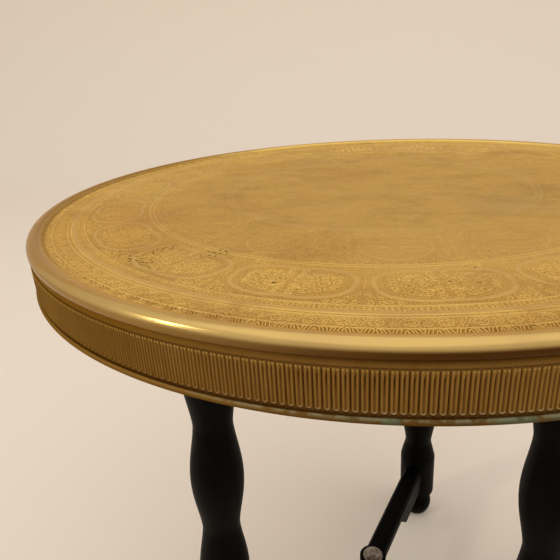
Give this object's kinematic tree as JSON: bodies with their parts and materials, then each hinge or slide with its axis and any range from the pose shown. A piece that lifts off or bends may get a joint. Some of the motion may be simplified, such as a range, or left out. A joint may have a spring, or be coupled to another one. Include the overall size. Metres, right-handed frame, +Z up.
{
  "type": "brass tray table",
  "caption": "Round engraved brass tray with a rolled rim and a ribbed apron, resting on a folding three-legged stand of turned blackened wood.",
  "frame": {"origin": "on the floor, on the shared upright axis of the tray and the stand, in the middle of the footprint of the whole table", "axes": "+Z up along the tray's axis; -Y towards the side from which the table is usually seen; the fixed leg stands 36 degrees clockwise from +X"},
  "size_m": [0.6006, 0.6006, 0.567],
  "materials": {
    "tray_brass": "aged, satin floor with engraving, rim worn to a polish",
    "apron_brass": "aged and ribbed, dark in the grooves, verdigris along the bead",
    "ebonised_wood": "blackened and waxed, satin",
    "peg_wood": "blackened, end grain",
    "felt": "pressed felt",
    "plain_steel": "plain, slightly dulled"
  },
  "bodies": {
    "fixed_frame": {"fixed_leg": "ebonised_wood", "fixed_upper_arm": "ebonised_wood", "fixed_lower_arm": "ebonised_wood", "fixed_leg_pegs": "peg_wood", "fixed_leg_felt": "felt", "fixed_leg_glide": "plain_steel", "upper_pivot_bolt": "plain_steel", "lower_pivot_bolt": "plain_steel", "upper_pivot_nut": "plain_steel", "lower_pivot_nut": "plain_steel", "end_washers": "plain_steel", "spacing_washers": "plain_steel"},
    "left_frame": {"left_leg": "ebonised_wood", "left_upper_arm": "ebonised_wood", "left_lower_arm": "ebonised_wood", "left_leg_pegs": "peg_wood", "left_leg_felt": "felt", "left_leg_glide": "plain_steel"},
    "right_frame": {"right_leg": "ebonised_wood", "right_upper_arm": "ebonised_wood", "right_lower_arm": "ebonised_wood", "right_leg_pegs": "peg_wood", "right_leg_felt": "felt", "right_leg_glide": "plain_steel"},
    "tray": {"tray_top": "tray_brass", "apron_band": "apron_brass", "edge_wire": "plain_steel"}
  },
  "joints": [
    {"name": "left_leg_swing", "type": "hinge", "parent": "fixed_frame", "child": "left_frame", "pos_m": [0, 0, 0.3], "axis": [0, 0, 1], "range_deg": [-14, 86]},
    {"name": "right_leg_swing", "type": "hinge", "parent": "fixed_frame", "child": "right_frame", "pos_m": [0, 0, 0.3], "axis": [0, 0, 1], "range_deg": [-86, 14]},
    {"name": "tray_lift", "type": "slide", "parent": "fixed_frame", "child": "tray", "axis": [0, 0, 1], "range_m": [0, 0.08]}
  ]
}
